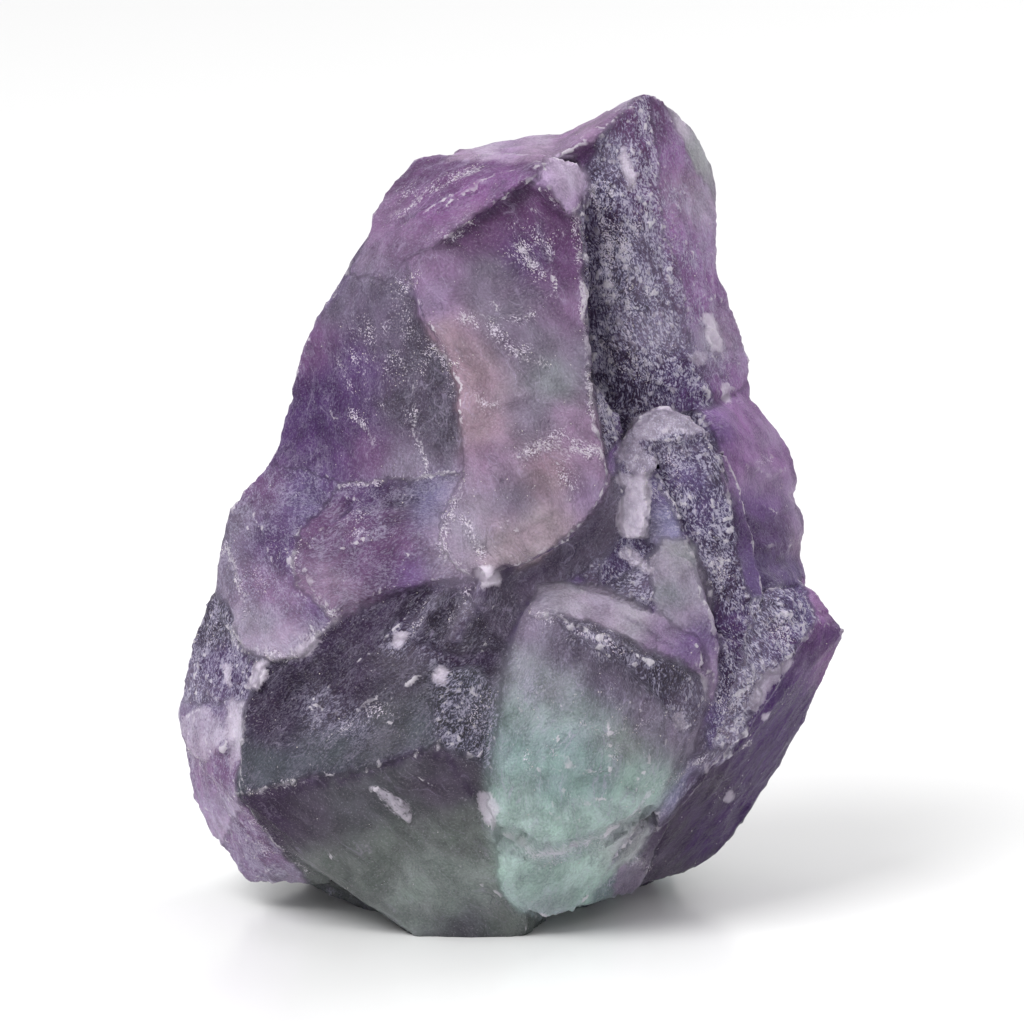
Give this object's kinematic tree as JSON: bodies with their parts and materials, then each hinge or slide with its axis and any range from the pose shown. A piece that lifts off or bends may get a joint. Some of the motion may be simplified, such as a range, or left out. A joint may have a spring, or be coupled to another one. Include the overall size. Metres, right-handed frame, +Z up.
{
  "type": "rough fluorite specimen",
  "caption": "Rough broken lump of purple and green banded fluorite with cleavage plates, ledges and frosted ridges, standing on its flat foot.",
  "frame": {"origin": "on the ground, under the middle of the stone's box", "axes": "+Z up from the flat foot to the peak, +X to the right of the front, -Y out of the front"},
  "size_m": [0.0416, 0.028, 0.0508],
  "materials": {
    "fluorite": "cleaved and broken, waxy to glassy"
  },
  "bodies": {
    "root": {"fluorite": "fluorite"}
  },
  "joints": []
}
